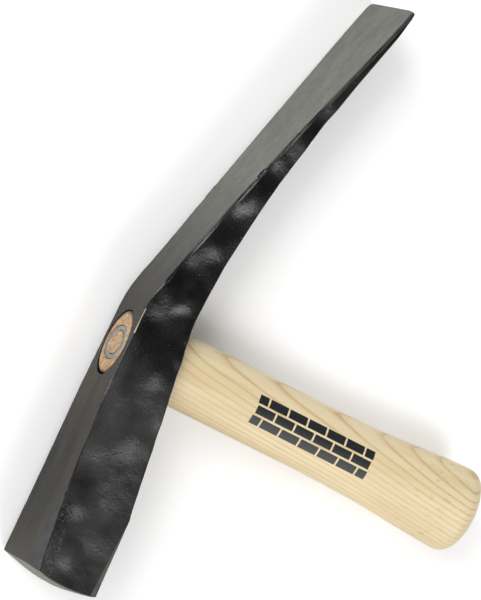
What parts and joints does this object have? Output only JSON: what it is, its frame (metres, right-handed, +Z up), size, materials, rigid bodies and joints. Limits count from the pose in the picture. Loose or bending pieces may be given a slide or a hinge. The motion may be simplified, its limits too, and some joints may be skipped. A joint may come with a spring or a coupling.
{
  "type": "paviour's hammer",
  "caption": "Forged hammer with a crowned square striking face, a long flat blade bent towards the hand, and a short ash handle held in the eye by a ring wedge.",
  "frame": {"origin": "under the middle of the hammer's bounding box, on the surface that it lies on", "axes": "the hammer lies on its cheek: +X along the head from the striking face towards the blade's edge, +Y from the handle's butt up to the top of the head, +Z up through the cheeks"},
  "size_m": [0.3534, 0.2396, 0.0484],
  "materials": {
    "forged_steel": "thin black lacquer over hammered forge scale, ground lighter on the top and the striking face",
    "ash": "sanded pale ash, open grain, a thin clear seal",
    "wedge_steel": "bare rolled steel, dulled"
  },
  "bodies": {
    "root": {"hammer_head": "forged_steel", "handle": "ash", "ring_wedge": "wedge_steel"}
  },
  "joints": []
}
